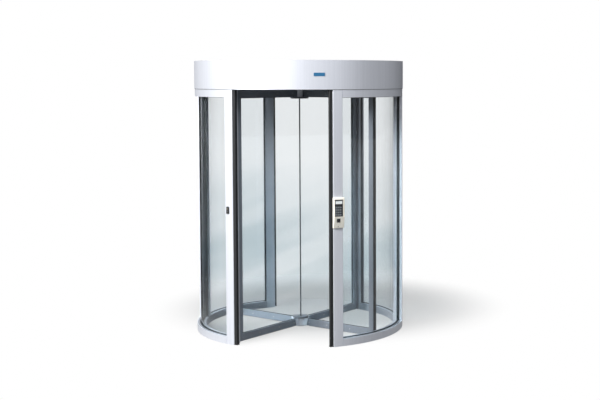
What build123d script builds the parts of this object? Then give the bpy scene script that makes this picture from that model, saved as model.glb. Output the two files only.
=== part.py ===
from build123d import *
import os
from math import acos, atan2, cos, degrees, pi, radians, sin, sqrt

# A four-wing security revolving door. The origin is on the turning axis at floor level, +Z is up,
# and the front throat faces -Y. Directions round the drum are given from +X, in degrees.
os.makedirs("parts", exist_ok=True)
mm = 1.0

# Drum: two curved walls of rails, posts, mullions and curved glass
drum_outer = 905 * mm
wall_depth = 75 * mm
passage_height = 2100 * mm
base_height = 63 * mm
head_height = 62.5 * mm
throat_half_angle = 27.2
post_width = 85 * mm
mullion_width = 70 * mm
post_round = 4 * mm
drum_glass_thickness = 10 * mm
glass_clearance = 0.3 * mm
rail_groove_depth = 22 * mm
post_groove_depth = 12 * mm
groove_floor_gap = 2 * mm
seal_width = 8 * mm
seal_lip = 3 * mm
anchor_inset = 15 * mm
anchor_spread = 45
side_anchor_inset = 25 * mm
anchor_hole_radius = 5.5 * mm
anchor_hole_depth = 35 * mm

# Rubber safety edge on each throat post
edge_projection = 29 * mm
edge_width = 30 * mm
edge_lobe_radius = 7.5 * mm
edge_end_gap = 2 * mm

# Canopy
ring_beam_width = 60 * mm
ring_beam_height = 40 * mm
canopy_overhang = 4 * mm
canopy_sheet = 3 * mm
canopy_reveal = 3 * mm
canopy_height = 240 * mm
canopy_flange = 30 * mm
canopy_lid_recess = 9 * mm
canopy_joint = 1 * mm
ceiling_thickness = 4 * mm
ceiling_edge_gap = 0.3 * mm
ceiling_lift = 2 * mm
downlight_count = 4
downlight_radius = 48 * mm
downlight_trim = 6 * mm
downlight_trim_thickness = 1.5 * mm
downlight_depth = 60 * mm
downlight_inset = 350 * mm
sensor_length = 240 * mm
sensor_width = 60 * mm
sensor_depth = 40 * mm
sensor_inset = 130 * mm
sensor_window_share = 0.8
fit_gap = 0.3 * mm

# Rotor: hubs, centre profile, shaft and four wings
wing_rest_direction = -120
wing_count = 4
wing_edge_gap = 20 * mm
wing_thickness = 33 * mm
wing_floor_gap = 8 * mm
wing_head_gap = 8 * mm
wing_stile_width = 46 * mm
wing_bottom_rail = 60 * mm
wing_top_rail = 62 * mm
wing_glass_thickness = 8 * mm
wing_glass_bite = 14 * mm
wing_groove_depth = 16 * mm
seal_groove_width = 6 * mm
seal_groove_depth = 8 * mm
sweep_thickness = 5 * mm
sweep_clearance = 0.6 * mm
hub_radius = 52 * mm
hub_socket_depth = 4 * mm
jaw_reach = 97 * mm
jaw_foot_reach = 82 * mm
jaw_cheek = 4 * mm
lower_cap_radius = 71 * mm
lower_cap_thickness = 12 * mm
upper_cap_radius = 82 * mm
upper_cap_thickness = 14 * mm
cap_round = 4 * mm
hub_rail_gap = 2 * mm
centre_radius = 8.5 * mm
centre_core = 9 * mm
pivot_plate_radius = 62 * mm
pivot_plate_thickness = 5 * mm
pivot_radius = 15 * mm
pivot_height = 40 * mm
running_clearance = 0.05 * mm

# Drive in the canopy
shaft_radius = 25 * mm
shaft_flange_radius = 38 * mm
shaft_flange_thickness = 12 * mm
shaft_collar_radius = 34 * mm
shaft_collar_thickness = 10 * mm
shaft_top_margin = 14 * mm
beam_height = 60 * mm
beam_width = 50 * mm
beam_spacing = 220 * mm
beam_wall = 4 * mm
drive_plate_length = 480 * mm
drive_plate_width = 290 * mm
drive_plate_thickness = 12 * mm
bearing_radius = 60 * mm
bearing_height = 40 * mm
gear_module = 5 * mm
gear_teeth = 60
pinion_teeth = 15
gear_width = 22 * mm
gear_lift = 14 * mm
gear_backlash = 0.5 * mm
gear_clearance_share = 0.25
flank_shares = (0, 0.25, 0.5, 0.75, 1)
pressure_angle = 20
wheel_web_radius = 110 * mm
wheel_hub_radius = 42 * mm
wheel_hole_radius = 22 * mm
wheel_hole_count = 6
pinion_shaft_radius = 11 * mm
gearbox_length = 130 * mm
gearbox_width = 100 * mm
gearbox_height = 82 * mm
motor_radius = 38 * mm
motor_length = 190 * mm
control_box_length = 320 * mm
control_box_width = 250 * mm
control_box_height = 90 * mm
control_box_distance = 430 * mm

# Fittings on the posts and the canopy
badge_width = 91 * mm
badge_height = 28 * mm
badge_thickness = 2 * mm
badge_direction = -69.9
badge_rise = 124 * mm
switch_width = 30 * mm
switch_height = 62 * mm
switch_thickness = 5 * mm
switch_direction = -120.6
switch_level = 1113 * mm
switch_barrel_radius = 9 * mm
switch_barrel_rise = 12 * mm
switch_barrel_proud = 3 * mm
keyway_width = 2.5 * mm
keyway_height = 10 * mm
keyway_depth = 4 * mm
terminal_direction = -60.2
terminal_level = 1104 * mm
terminal_width = 92 * mm
terminal_height = 250 * mm
terminal_depth = 34 * mm
terminal_bevel = 12 * mm
terminal_foot_depth = 15 * mm
terminal_slope_drop = 32 * mm
terminal_round = 3 * mm
panel_width = 70 * mm
panel_height = 136 * mm
panel_depth = 8 * mm
panel_shift = 6 * mm
panel_level = 40 * mm
display_width = 60 * mm
display_height = 25 * mm
display_depth = 2 * mm
display_level = 86 * mm
key_width = 15 * mm
key_height = 12 * mm
key_length = 7 * mm
key_proud = 1.8 * mm
key_pitch_across = 19 * mm
key_pitch_up = 20 * mm
key_gap = 0.4 * mm
key_level = 16 * mm
key_shift = 10 * mm
key_columns = 3
key_names = ["1", "2", "3", "4", "5", "6", "7", "8", "9", "star", "0", "hash"]
finger_width = 32 * mm
finger_height = 34 * mm
finger_depth = 3 * mm
lamp_radius = 4 * mm
overrun = 10 * mm

# Levels, radii and directions worked out from the sizes above
drum_inner = drum_outer - wall_depth
drum_glass_radius = drum_outer - wall_depth / 2
anchor_circle_radius = drum_inner + anchor_inset
side_anchor_radius = drum_outer - side_anchor_inset
ring_beam_inner = drum_outer - ring_beam_width
canopy_radius = drum_outer + canopy_overhang
downlight_circle_radius = drum_inner - downlight_inset
sensor_circle_radius = drum_inner - sensor_inset
wing_radius = drum_inner - wing_edge_gap
badge_level = passage_height + badge_rise
head_level = passage_height - head_height
post_angle = degrees(post_width / drum_outer)
wall_half = 90 - throat_half_angle - post_angle
mullion_half = degrees(mullion_width / drum_outer) / 2
groove_half = drum_glass_thickness / 2 + glass_clearance
groove_inner = drum_glass_radius - groove_half
groove_outer = drum_glass_radius + groove_half
post_groove_angle = degrees(post_groove_depth / drum_glass_radius)
groove_gap_angle = degrees(groove_floor_gap / drum_glass_radius)
canopy_top = passage_height + canopy_height
ring_beam_top = passage_height + ring_beam_height
beam_top = ring_beam_top + beam_height
plate_top = beam_top + drive_plate_thickness
ceiling_level = passage_height + ceiling_lift
wing_bottom = wing_floor_gap
wing_top = passage_height - wing_head_gap
bottom_rail_top = wing_bottom + wing_bottom_rail
top_rail_bottom = wing_top - wing_top_rail
lower_cap_level = bottom_rail_top + hub_rail_gap
lower_cap_top = lower_cap_level + lower_cap_thickness
upper_cap_top = top_rail_bottom - hub_rail_gap
upper_cap_bottom = upper_cap_top - upper_cap_thickness
gear_level = plate_top + gear_lift
gear_pitch_radius = gear_module * gear_teeth / 2
pinion_pitch_radius = gear_module * pinion_teeth / 2
gear_centres = gear_pitch_radius + pinion_pitch_radius


def write(shape, name):
    """Labels a finished piece and writes it as its own file."""
    shape.label = name
    export_step(shape, f"parts/{name}.step")


def ring_sector(inner, outer, start, end):
    """The face between two radii and two directions."""
    with BuildSketch() as face:
        with BuildLine():
            outside = CenterArc((0, 0), outer, start, end - start)
            inside = CenterArc((0, 0), inner, start, end - start)
            Line(outside @ 0, inside @ 0)
            Line(outside @ 1, inside @ 1)
        make_face()
    return face.sketch


def outward_plane(radius, direction, level):
    """A plane on the drum that faces outward, with its x axis to the right and its y axis up."""
    a = radians(direction)
    outward = Vector(cos(a), sin(a), 0)
    return Plane(origin=outward * radius + Vector(0, 0, level), x_dir=(-sin(a), cos(a), 0), z_dir=outward)


# Base rail: a curved aluminium sill with a glass groove on top and anchor holes underneath
with BuildPart() as base_rail:
    with BuildSketch():
        add(ring_sector(drum_inner, drum_outer, -wall_half, wall_half))
    extrude(amount=base_height)
    with BuildSketch(Plane.XY.offset(base_height)):
        add(ring_sector(groove_inner, groove_outer, -wall_half, wall_half))
    extrude(amount=-rail_groove_depth, mode=Mode.SUBTRACT)
    with BuildSketch():
        with PolarLocations(anchor_circle_radius, 2, -anchor_spread, 2 * anchor_spread, endpoint=True):
            Circle(anchor_hole_radius)
        with Locations((side_anchor_radius, 0)):
            Circle(anchor_hole_radius)
    extrude(amount=anchor_hole_depth, mode=Mode.SUBTRACT)
write(base_rail.part, "base_rail_right")
write(base_rail.part.rotate(Axis.Z, 180), "base_rail_left")

# Head rail: the same section turned over, under the canopy
with BuildPart() as head_rail:
    with BuildSketch(Plane.XY.offset(head_level)):
        add(ring_sector(drum_inner, drum_outer, -wall_half, wall_half))
    extrude(amount=head_height)
    with BuildSketch(Plane.XY.offset(head_level)):
        add(ring_sector(groove_inner, groove_outer, -wall_half, wall_half))
    extrude(amount=rail_groove_depth, mode=Mode.SUBTRACT)
write(head_rail.part, "head_rail_right")
write(head_rail.part.rotate(Axis.Z, 180), "head_rail_left")

# Throat post: full height, rounded at its corners, grooved for the glass on its wall side
post_start = -wall_half - post_angle
with BuildPart() as post:
    with BuildSketch() as post_section:
        add(ring_sector(drum_inner, drum_outer, post_start, -wall_half))
        throat_corners = post_section.vertices().sort_by(Axis.Y)[:2]
        fillet(throat_corners, post_round)
    extrude(amount=passage_height)
    with BuildSketch(Plane.XY.offset(base_height - rail_groove_depth)):
        add(ring_sector(groove_inner, groove_outer, -wall_half - post_groove_angle, -wall_half))
    extrude(amount=head_level - base_height + 2 * rail_groove_depth, mode=Mode.SUBTRACT)
write(post.part, "post_front_right")
write(post.part.mirror(Plane.XZ), "post_rear_right")
write(post.part.mirror(Plane.YZ), "post_front_left")
write(post.part.rotate(Axis.Z, 180), "post_rear_left")

# Mullion between the two panes of each wall
with BuildPart() as mullion:
    with BuildSketch(Plane.XY.offset(base_height)):
        add(ring_sector(drum_inner, drum_outer, -mullion_half, mullion_half))
    extrude(amount=head_level - base_height)
    for side in (-1, 1):
        with BuildSketch(Plane.XY.offset(base_height)):
            limits = sorted((side * mullion_half, side * (mullion_half - post_groove_angle)))
            add(ring_sector(groove_inner, groove_outer, *limits))
        extrude(amount=head_level - base_height, mode=Mode.SUBTRACT)
write(mullion.part, "mullion_right")
write(mullion.part.rotate(Axis.Z, 180), "mullion_left")

# Curved glass: two panes to a wall, let into the rails, a post and the mullion
pane_bottom = base_height - rail_groove_depth + groove_floor_gap
pane_top = head_level + rail_groove_depth - groove_floor_gap
pane_start = mullion_half - post_groove_angle + groove_gap_angle
pane_end = wall_half + post_groove_angle - groove_gap_angle
visible_start = mullion_half
with BuildPart() as panes:
    with BuildSketch(Plane.XY.offset(pane_bottom)):
        glass_inner = drum_glass_radius - drum_glass_thickness / 2
        glass_outer = drum_glass_radius + drum_glass_thickness / 2
        add(ring_sector(glass_inner, glass_outer, pane_start, pane_end))
        add(ring_sector(glass_inner, glass_outer, -pane_end, -pane_start))
    extrude(amount=pane_top - pane_bottom)
    # The mullion runs from rail to rail, so each pane is notched where it passes into the rails
    for low, high in ((pane_bottom, base_height), (head_level, pane_top)):
        with BuildSketch(Plane.XY.offset(low)):
            add(ring_sector(drum_inner, drum_outer, -visible_start, visible_start))
            add(ring_sector(drum_inner, drum_outer, wall_half, pane_end + post_angle))
            add(ring_sector(drum_inner, drum_outer, -pane_end - post_angle, -wall_half))
        extrude(amount=high - low, mode=Mode.SUBTRACT)
write(panes.part, "drum_glass_right")
write(panes.part.rotate(Axis.Z, 180), "drum_glass_left")

# Glazing seals: a rubber frame round each pane, inside and outside
seal_angle = degrees(seal_lip / drum_glass_radius)
with BuildPart() as glazing_seals:
    bands = ((groove_inner - seal_width, groove_inner), (groove_outer, groove_outer + seal_width))
    for inner, outer in bands:
        for turn in (0, 180):
            for side in (-1, 1):
                near, far = sorted((side * visible_start, side * wall_half))
                with BuildSketch(Plane.XY.offset(base_height)):
                    add(ring_sector(inner, outer, near + turn, far + turn))
                extrude(amount=head_level - base_height)
                with BuildSketch(Plane.XY.offset(base_height + seal_lip)):
                    window = (near + seal_angle + turn, far - seal_angle + turn)
                    add(ring_sector(inner - overrun, outer + overrun, *window))
                extrude(amount=head_level - base_height - 2 * seal_lip, mode=Mode.SUBTRACT)
write(glazing_seals.part, "drum_glazing_seals")

# Safety edges: a rubber profile with two soft lobes on the throat face of each post
edge_plane_direction = radians(post_start)
edge_middle = drum_outer - post_round - edge_width / 2
edge_plane = Plane(
    origin=(edge_middle * cos(edge_plane_direction), edge_middle * sin(edge_plane_direction), edge_end_gap),
    x_dir=(sin(edge_plane_direction), -cos(edge_plane_direction), 0),
    z_dir=(0, 0, 1),
)
with BuildPart() as safety_edge:
    with BuildSketch(edge_plane):
        edge_body = edge_projection - edge_lobe_radius
        Rectangle(edge_body, edge_width, align=(Align.MIN, Align.CENTER))
        with Locations(
            (edge_body, edge_width / 2 - edge_lobe_radius),
            (edge_body, edge_lobe_radius - edge_width / 2),
        ):
            Circle(edge_lobe_radius)
    extrude(amount=passage_height - 2 * edge_end_gap)
edges = [
    safety_edge.part,
    safety_edge.part.mirror(Plane.XZ),
    safety_edge.part.mirror(Plane.YZ),
    safety_edge.part.rotate(Axis.Z, 180),
]
write(Compound(edges), "throat_safety_edges")

# Ring beam: ties the posts together over both throats and carries the canopy
with BuildPart() as ring_beam:
    with BuildSketch(Plane.XY.offset(passage_height)):
        Circle(drum_outer)
        Circle(ring_beam_inner, mode=Mode.SUBTRACT)
    extrude(amount=ring_beam_height)
write(ring_beam.part, "ring_beam")

# Cross beams: two box sections from side to side that carry the drive
with BuildPart() as cross_beams:
    beam_length = 2 * sqrt(ring_beam_inner**2 - (beam_spacing / 2 + beam_width / 2) ** 2) + ring_beam_height
    with BuildSketch(Plane.YZ.offset(-beam_length / 2)):
        with Locations(
            (-beam_spacing / 2, ring_beam_top + beam_height / 2),
            (beam_spacing / 2, ring_beam_top + beam_height / 2),
        ):
            Rectangle(beam_width, beam_height)
            Rectangle(beam_width - 2 * beam_wall, beam_height - 2 * beam_wall, mode=Mode.SUBTRACT)
    extrude(amount=beam_length)
write(cross_beams.part, "cross_beams")

# Ceiling panel with holes for the shaft, downlights and sensors
light_places = PolarLocations(downlight_circle_radius, downlight_count, start_angle=180 / downlight_count)
sensor_places = [(0, -sensor_circle_radius), (0, sensor_circle_radius)]
with BuildPart() as ceiling:
    with BuildSketch(Plane.XY.offset(ceiling_level)):
        Circle(ring_beam_inner - ceiling_edge_gap)
        Circle(shaft_flange_radius + overrun, mode=Mode.SUBTRACT)
        with light_places:
            Circle(downlight_radius + fit_gap, mode=Mode.SUBTRACT)
        with Locations(*sensor_places):
            Rectangle(sensor_length + 2 * fit_gap, sensor_width + 2 * fit_gap, mode=Mode.SUBTRACT)
    extrude(amount=ceiling_thickness)
write(ceiling.part, "ceiling_panel")

# Downlights: a trim ring under the panel, a can above it and a lens
with BuildPart() as downlights:
    with BuildSketch(Plane.XY.offset(ceiling_level - downlight_trim_thickness)):
        with light_places:
            Circle(downlight_radius + downlight_trim)
    extrude(amount=downlight_trim_thickness)
    with BuildSketch(Plane.XY.offset(ceiling_level)):
        with light_places:
            Circle(downlight_radius)
    extrude(amount=downlight_depth)
    with BuildSketch(Plane.XY.offset(ceiling_level - downlight_trim_thickness)):
        with light_places:
            Circle(downlight_radius - downlight_trim)
    extrude(amount=2 * downlight_trim_thickness, mode=Mode.SUBTRACT)
write(downlights.part, "downlights")

# Presence sensors, flush in the ceiling over each throat
with BuildPart() as sensors:
    with BuildSketch(Plane.XY.offset(ceiling_level)):
        with Locations(*sensor_places):
            Rectangle(sensor_length, sensor_width)
    extrude(amount=sensor_depth)
    with BuildSketch(Plane.XY.offset(ceiling_level)):
        with Locations(*sensor_places):
            Rectangle(sensor_length * sensor_window_share, sensor_width * sensor_window_share)
    extrude(amount=downlight_trim_thickness, mode=Mode.SUBTRACT)
write(sensors.part, "ceiling_sensors")

# Canopy fascia: two half rings of rolled sheet with a lower and an upper flange
joint_angle = degrees(canopy_joint / 2 / canopy_radius)
fascia_bottom = passage_height + canopy_reveal
lid_level = canopy_top - canopy_lid_recess
with BuildPart() as fascia:
    for turn in (0, 180):
        start, end = turn + joint_angle, turn + 180 - joint_angle
        with BuildSketch(Plane.XY.offset(fascia_bottom)):
            add(ring_sector(canopy_radius - canopy_sheet, canopy_radius, start, end))
        extrude(amount=canopy_top - fascia_bottom)
        with BuildSketch(Plane.XY.offset(fascia_bottom)):
            add(ring_sector(drum_outer + fit_gap, canopy_radius, start, end))
        extrude(amount=canopy_sheet)
        with BuildSketch(Plane.XY.offset(lid_level - canopy_sheet)):
            add(ring_sector(canopy_radius - canopy_flange, canopy_radius, start, end))
        extrude(amount=canopy_sheet)
write(fascia.part, "canopy_fascia")

# Dust cover let down inside the fascia's rim, in two halves
with BuildPart() as top_cover:
    with BuildSketch(Plane.XY.offset(lid_level)):
        for turn in (0, 180):
            lid_radius = canopy_radius - canopy_sheet - canopy_joint
            add(ring_sector(canopy_sheet, lid_radius, turn + joint_angle, turn + 180 - joint_angle))
    extrude(amount=canopy_sheet)
write(top_cover.part, "canopy_top_cover")

# Floor pivot: a plate let down on the floor with the pin that the lower hub turns on
with BuildPart() as floor_pivot:
    with BuildSketch():
        Circle(pivot_plate_radius)
    extrude(amount=pivot_plate_thickness)
    with BuildSketch(Plane.XY.offset(pivot_plate_thickness)):
        Circle(pivot_radius)
    extrude(amount=pivot_height)
write(floor_pivot.part, "floor_pivot")


# Lower hub: a casting with an open jaw for each bottom rail, which turns on the floor pin
hub_bottom = pivot_plate_thickness + fit_gap
socket_start = hub_radius - hub_socket_depth
socket_width = wing_thickness + 2 * fit_gap
inner_edge, outer_edge = (Align.MIN, Align.CENTER), (Align.MAX, Align.CENTER)
lower_edge, upper_edge = (Align.CENTER, Align.MIN), (Align.CENTER, Align.MAX)
with BuildPart() as hub_lower:
    with BuildSketch(Plane.XY.offset(hub_bottom)):
        Circle(hub_radius)
    extrude(amount=lower_cap_level - hub_bottom)
    for number in range(wing_count):
        a = radians(wing_rest_direction + 360 / wing_count * number)
        with BuildSketch(Plane(origin=(0, 0, 0), x_dir=(cos(a), sin(a), 0), z_dir=(sin(a), -cos(a), 0))):
            with BuildLine():
                Polyline(
                    (0, hub_bottom),
                    (jaw_foot_reach, hub_bottom),
                    (jaw_reach, lower_cap_level),
                    (0, lower_cap_level),
                    close=True,
                )
            make_face()
        extrude(amount=socket_width / 2 + jaw_cheek, both=True)
    with BuildSketch(Plane.XY.offset(wing_bottom - fit_gap)):
        with PolarLocations(socket_start, wing_count, start_angle=wing_rest_direction):
            Rectangle(jaw_reach, socket_width, align=inner_edge)
    extrude(amount=wing_bottom_rail + overrun, mode=Mode.SUBTRACT)
    with BuildSketch(Plane.XY.offset(hub_bottom)):
        Circle(pivot_radius + running_clearance)
    extrude(amount=pivot_plate_thickness + pivot_height + fit_gap - hub_bottom, mode=Mode.SUBTRACT)
write(hub_lower.part, "hub_lower")

# Upper hub: takes the four top rails and carries the drive shaft
with BuildPart() as hub_upper:
    with BuildSketch(Plane.XY.offset(upper_cap_top)):
        Circle(hub_radius)
    extrude(amount=wing_top - upper_cap_top)
    with BuildSketch(Plane.XY.offset(top_rail_bottom - fit_gap)):
        with PolarLocations(socket_start, wing_count, start_angle=wing_rest_direction):
            Rectangle(hub_radius, socket_width, align=inner_edge)
    extrude(amount=wing_top_rail + overrun, mode=Mode.SUBTRACT)
write(hub_upper.part, "hub_upper")

# Caps: the round discs over the lower hub and under the upper one
with BuildPart() as hub_caps:
    with BuildSketch(Plane.XY.offset(lower_cap_level)):
        Circle(lower_cap_radius)
    extrude(amount=lower_cap_thickness)
    fillet(hub_caps.edges().group_by(Axis.Z)[-1], cap_round)
    with BuildSketch(Plane.XY.offset(upper_cap_bottom)):
        Circle(upper_cap_radius)
    extrude(amount=upper_cap_thickness)
    upper_rim = [e for e in hub_caps.edges() if abs(e.center().Z - upper_cap_bottom) < fit_gap]
    fillet(upper_rim, cap_round)
write(hub_caps.part, "hub_caps")

# Centre profile: a four-way extrusion that takes the inner edge of each pane
wing_slot = wing_glass_thickness + 2 * fit_gap
with BuildPart() as centre_profile:
    with BuildSketch(Plane.XY.offset(lower_cap_top)):
        Circle(centre_radius)
        with PolarLocations(centre_core / 2, wing_count, start_angle=wing_rest_direction):
            Rectangle(centre_radius, wing_slot, align=(Align.MIN, Align.CENTER), mode=Mode.SUBTRACT)
    extrude(amount=upper_cap_bottom - lower_cap_top)
write(centre_profile.part, "centre_profile")

# Drive shaft: bolted on the upper hub, with a collar that sits on the bearing
shaft_top = gear_level + gear_width + shaft_top_margin
collar_level = plate_top + fit_gap
with BuildPart() as drive_shaft:
    with BuildSketch(Plane.XY.offset(wing_top)):
        Circle(shaft_flange_radius)
    extrude(amount=shaft_flange_thickness)
    with BuildSketch(Plane.XY.offset(wing_top)):
        Circle(shaft_radius)
    extrude(amount=shaft_top - wing_top)
    with BuildSketch(Plane.XY.offset(collar_level)):
        Circle(shaft_collar_radius)
    extrude(amount=shaft_collar_thickness)
write(drive_shaft.part, "drive_shaft")

# Bearing housing and drive plate on the cross beams
with BuildPart() as bearing_plate:
    plate_shift = (drive_plate_length - drive_plate_width) / 2
    with BuildSketch(Plane.XY.offset(beam_top)):
        with Locations((plate_shift, 0)):
            Rectangle(drive_plate_length, drive_plate_width)
    extrude(amount=drive_plate_thickness)
    with BuildSketch(Plane.XY.offset(beam_top)):
        Circle(bearing_radius)
    extrude(amount=-bearing_height)
    with BuildSketch(Plane.XY.offset(plate_top)):
        Circle(shaft_radius + running_clearance)
        with Locations((gear_centres, 0)):
            Circle(pinion_shaft_radius + overrun)
    extrude(amount=-drive_plate_thickness - bearing_height, mode=Mode.SUBTRACT)
write(bearing_plate.part, "bearing_plate")


def gear_face(teeth, phase):
    """A spur gear: involute flanks from the base circle, thinned for backlash."""
    pitch = gear_module * teeth / 2
    base = pitch * cos(radians(pressure_angle))
    tip = pitch + gear_module
    root = pitch - gear_module * (1 + gear_clearance_share)
    half_tooth = pi / 2 / teeth - gear_backlash / 2 / pitch

    def involute(radius):
        roll = sqrt(max((radius / base) ** 2 - 1, 0))
        return roll - acos(min(1, base / radius))

    at_pitch = involute(pitch)
    low = max(base, root)
    flank_radii = [low + share * (tip - low) for share in flank_shares]
    flank = [(r, half_tooth + at_pitch - involute(r)) for r in flank_radii]
    with BuildSketch() as face:
        with BuildLine():
            for n in range(teeth):
                middle = 2 * pi * n / teeth + radians(phase)
                rise = [(r * cos(middle - a), r * sin(middle - a)) for r, a in flank]
                fall = [(r * cos(middle + a), r * sin(middle + a)) for r, a in reversed(flank)]
                foot = flank[0][1]
                Spline(*rise)
                ThreePointArc(rise[-1], (tip * cos(middle), tip * sin(middle)), fall[0])
                Spline(*fall)
                after = middle + 2 * pi / teeth
                root_start = (root * cos(middle + foot), root * sin(middle + foot))
                root_end = (root * cos(after - foot), root * sin(after - foot))
                gap_middle = middle + pi / teeth
                next_rise = (flank[0][0] * cos(after - foot), flank[0][0] * sin(after - foot))
                if low > root:
                    Line(fall[-1], root_start)
                    Line(root_end, next_rise)
                ThreePointArc(root_start, (root * cos(gap_middle), root * sin(gap_middle)), root_end)
        make_face()
    return face.sketch


# Drive wheel on the shaft, lightened by six holes
with BuildPart() as drive_wheel:
    with BuildSketch(Plane.XY.offset(gear_level)):
        add(gear_face(gear_teeth, 0))
        Circle(shaft_radius + running_clearance, mode=Mode.SUBTRACT)
        with PolarLocations((wheel_web_radius + wheel_hub_radius) / 2, wheel_hole_count):
            Circle(wheel_hole_radius, mode=Mode.SUBTRACT)
    extrude(amount=gear_width)
write(drive_wheel.part, "drive_wheel")

# Pinion on the gearmotor's shaft: its tooth gap faces the wheel's tooth on the line of centres
pinion_phase = 180 + 180 / pinion_teeth
gearbox_top = beam_top - fit_gap
with BuildPart() as pinion:
    with BuildSketch(Plane.XY.offset(gear_level)):
        with Locations((gear_centres, 0)):
            add(gear_face(pinion_teeth, pinion_phase))
    extrude(amount=gear_width)
    with BuildSketch(Plane.XY.offset(gear_level)):
        with Locations((gear_centres, 0)):
            Circle(pinion_shaft_radius)
    extrude(amount=gearbox_top + fit_gap - gear_level)
write(pinion.part, "drive_pinion")

# Gearmotor: a right-angle gearbox under the plate with its motor lying between the beams
with BuildPart() as gearmotor:
    with BuildSketch(Plane.XY.offset(gearbox_top)):
        with Locations((gear_centres, 0)):
            Rectangle(gearbox_length, gearbox_width)
    extrude(amount=-gearbox_height)
    with BuildSketch(Plane.YZ.offset(gear_centres + gearbox_length / 2)):
        with Locations((0, gearbox_top - gearbox_height / 2)):
            Circle(motor_radius)
    extrude(amount=motor_length)
write(gearmotor.part, "gearmotor")

# Control box on the beams at the other side
with BuildPart() as control_box:
    with BuildSketch(Plane.XY.offset(beam_top)):
        with Locations((-control_box_distance, 0)):
            RectangleRounded(control_box_length, control_box_width, terminal_bevel)
    extrude(amount=control_box_height)
write(control_box.part, "control_box")

# Wing pieces, drawn along +X and then turned to each direction
stile_inner = wing_radius - wing_stile_width
rail_start = socket_start + fit_gap
groove_width = wing_glass_thickness + 2 * fit_gap
with BuildPart() as wing_frame:
    with BuildSketch(Plane.XY.offset(wing_bottom)):
        with Locations((stile_inner, 0)):
            Rectangle(wing_stile_width, wing_thickness, align=inner_edge)
            Rectangle(wing_groove_depth, groove_width, align=inner_edge, mode=Mode.SUBTRACT)
        with Locations((wing_radius, 0)):
            Rectangle(seal_groove_depth, seal_groove_width, align=outer_edge, mode=Mode.SUBTRACT)
    extrude(amount=wing_top - wing_bottom)
with BuildPart() as bottom_rail:
    with BuildSketch(Plane.YZ.offset(rail_start)):
        with Locations((0, wing_bottom)):
            Rectangle(wing_thickness, wing_bottom_rail, align=lower_edge)
            Rectangle(seal_groove_width, seal_groove_depth, align=lower_edge, mode=Mode.SUBTRACT)
        with Locations((0, bottom_rail_top)):
            Rectangle(groove_width, wing_groove_depth, align=upper_edge, mode=Mode.SUBTRACT)
    extrude(amount=stile_inner - rail_start)
with BuildPart() as top_rail:
    with BuildSketch(Plane.YZ.offset(rail_start)):
        with Locations((0, wing_top)):
            Rectangle(wing_thickness, wing_top_rail, align=upper_edge)
            Rectangle(seal_groove_width, seal_groove_depth, align=upper_edge, mode=Mode.SUBTRACT)
        with Locations((0, top_rail_bottom)):
            Rectangle(groove_width, wing_groove_depth, align=lower_edge, mode=Mode.SUBTRACT)
    extrude(amount=stile_inner - rail_start)

# Wing glass: notched at its inner corners so that it passes the hub caps
notch_reach = upper_cap_radius + fit_gap
pane_left = centre_core / 2 + fit_gap
pane_right = stile_inner + wing_glass_bite
with BuildPart() as wing_glass:
    with BuildSketch(Plane.XZ.offset(-wing_glass_thickness / 2)):
        with BuildLine():
            Polyline(
                (pane_left, lower_cap_top + fit_gap),
                (notch_reach, lower_cap_top + fit_gap),
                (notch_reach, bottom_rail_top - wing_glass_bite),
                (pane_right, bottom_rail_top - wing_glass_bite),
                (pane_right, top_rail_bottom + wing_glass_bite),
                (notch_reach, top_rail_bottom + wing_glass_bite),
                (notch_reach, upper_cap_bottom - fit_gap),
                (pane_left, upper_cap_bottom - fit_gap),
                close=True,
            )
        make_face()
    extrude(amount=wing_glass_thickness)

# Sweep seals: rubber strips in the outer, lower and upper edges of a wing
sweep_tip = drum_inner - sweep_clearance
with BuildPart() as sweeps:
    with BuildSketch(Plane.XY.offset(wing_bottom)):
        with Locations((wing_radius - seal_groove_depth + fit_gap, 0)):
            Rectangle(
                sweep_tip - wing_radius + seal_groove_depth - fit_gap,
                sweep_thickness,
                align=inner_edge,
            )
    extrude(amount=wing_top - wing_bottom)
    with BuildSketch(Plane.YZ.offset(jaw_reach + fit_gap)):
        with Locations((0, sweep_clearance)):
            Rectangle(
                sweep_thickness,
                wing_bottom + seal_groove_depth - fit_gap - sweep_clearance,
                align=lower_edge,
            )
        with Locations((0, passage_height - sweep_clearance)):
            Rectangle(
                sweep_thickness,
                wing_head_gap + seal_groove_depth - fit_gap - sweep_clearance,
                align=upper_edge,
            )
    extrude(amount=stile_inner - jaw_reach - 2 * fit_gap)

all_sweeps = []
for number in range(wing_count):
    direction = wing_rest_direction + 360 / wing_count * number
    pieces = [wing_frame.part, bottom_rail.part, top_rail.part]
    frame = Compound([piece.rotate(Axis.Z, direction) for piece in pieces])
    write(frame, f"wing_{number + 1}_frame")
    write(wing_glass.part.rotate(Axis.Z, direction), f"wing_{number + 1}_glass")
    all_sweeps += sweeps.part.rotate(Axis.Z, direction).solids()
write(Compound(all_sweeps), "wing_sweep_seals")

# Badge plate on the canopy, blank
with BuildPart() as badge:
    with BuildSketch(outward_plane(canopy_radius - badge_thickness, badge_direction, badge_level)):
        RectangleRounded(badge_width, badge_height, badge_thickness)
    extrude(amount=2 * badge_thickness)
    with BuildSketch(Plane.XY.offset(passage_height)):
        Circle(canopy_radius)
    extrude(amount=canopy_height, mode=Mode.SUBTRACT)
write(badge.part, "badge_plate")

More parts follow.
